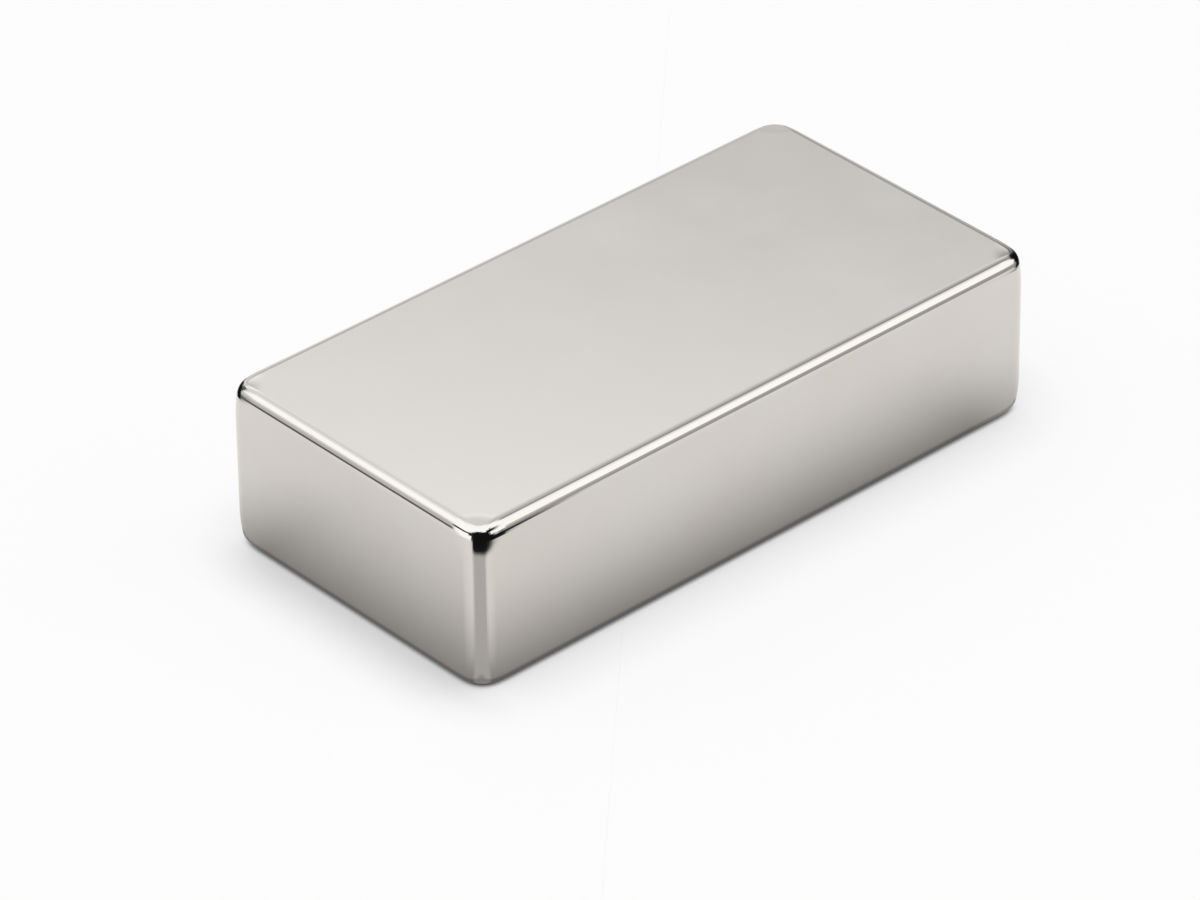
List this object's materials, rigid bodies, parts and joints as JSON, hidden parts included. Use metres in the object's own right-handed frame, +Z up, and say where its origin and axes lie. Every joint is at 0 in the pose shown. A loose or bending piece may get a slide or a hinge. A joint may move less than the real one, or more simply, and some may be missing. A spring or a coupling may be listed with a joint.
{
  "type": "block magnet",
  "caption": "Rectangular block magnet with a bright nickel plating, flat pole faces and evenly rounded edges and corners, lying on its lower pole face.",
  "frame": {"origin": "middle of the lower pole face, which the block stands on", "axes": "+X along the length, +Y across the width, +Z up through the thickness, along the direction of magnetisation"},
  "size_m": [0.05, 0.025, 0.0125],
  "materials": {
    "nickel_plating": "bright nickel plating over tumbled edges, smooth with a soft, slightly warm reflection"
  },
  "bodies": {
    "root": {"block_magnet": "nickel_plating"}
  },
  "joints": []
}
